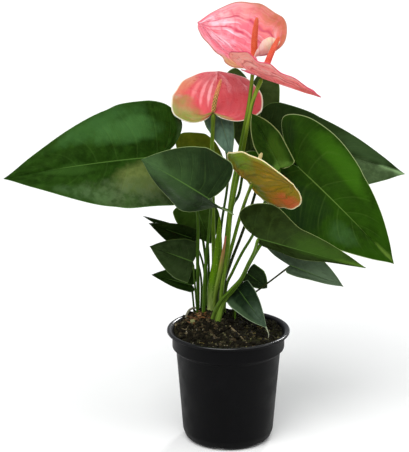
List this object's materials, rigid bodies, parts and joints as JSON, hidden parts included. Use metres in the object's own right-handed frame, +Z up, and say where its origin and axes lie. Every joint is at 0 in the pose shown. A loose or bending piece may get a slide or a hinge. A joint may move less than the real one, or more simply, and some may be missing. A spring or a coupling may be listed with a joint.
{
  "type": "potted anthurium plant",
  "caption": "Flowering anthurium with heart-shaped leaves and waxy coral spathes, growing in a round black nursery pot.",
  "frame": {"origin": "middle of the pot's base, on the surface that the pot stands on", "axes": "+Z up along the pot's axis, -Y towards the front from which the flowers are seen, +X to the right of that view"},
  "size_m": [0.3831, 0.1929, 0.4245],
  "materials": {
    "pot": "satin",
    "soil": "matte",
    "leaf": "satin",
    "petiole": "satin",
    "peduncle": "satin",
    "spathe_pink": "gloss",
    "spathe_coral": "gloss",
    "spathe_olive": "gloss",
    "spadix_red": "matte",
    "spadix_orange": "matte",
    "sheath": "matte",
    "sheath_pink": "matte",
    "stub": "matte",
    "root": "matte"
  },
  "bodies": {
    "root": {"pot": "pot", "soil": "soil", "leaf_big_left_blade": "leaf", "leaf_big_left_petiole": "petiole", "leaf_mid_left_blade": "leaf", "leaf_mid_left_petiole": "petiole", "leaf_olive_back_blade": "leaf", "leaf_olive_back_petiole": "petiole", "leaf_hanging_blade": "leaf", "leaf_hanging_petiole": "petiole", "leaf_back_blade": "leaf", "leaf_back_petiole": "petiole", "leaf_far_right_blade": "leaf", "leaf_far_right_petiole": "petiole", "leaf_big_right_blade": "leaf", "leaf_big_right_petiole": "petiole", "leaf_front_fold_blade": "leaf", "leaf_front_fold_petiole": "petiole", "leaf_low_right_long_blade": "leaf", "leaf_low_right_long_petiole": "petiole", "leaf_low_right_dark_blade": "leaf", "leaf_low_right_dark_petiole": "petiole", "leaf_small_round_blade": "leaf", "leaf_small_round_petiole": "petiole", "leaf_over_soil_blade": "leaf", "leaf_over_soil_petiole": "petiole", "leaf_left_thin_blade": "leaf", "leaf_left_thin_petiole": "petiole", "leaf_left_dark_blade": "leaf", "leaf_left_dark_petiole": "petiole", "leaf_left_mid_blade": "leaf", "leaf_left_mid_petiole": "petiole", "leaf_left_low_blade": "leaf", "leaf_left_low_petiole": "petiole", "leaf_centre_back_blade": "leaf", "leaf_centre_back_petiole": "petiole", "flower_top_spathe": "spathe_pink", "flower_top_spadix": "spadix_red", "flower_top_peduncle": "peduncle", "flower_right_spathe": "spathe_coral", "flower_right_spadix": "spadix_red", "flower_right_peduncle": "peduncle", "flower_left_spathe": "spathe_coral", "flower_left_spadix": "spadix_orange", "flower_left_peduncle": "peduncle", "flower_back_view_spathe": "spathe_olive", "flower_back_view_spadix": "spadix_orange", "flower_back_view_peduncle": "peduncle", "sheath_centre": "sheath", "sheath_pink": "sheath_pink", "stub": "stub", "root": "root"}
  },
  "joints": []
}
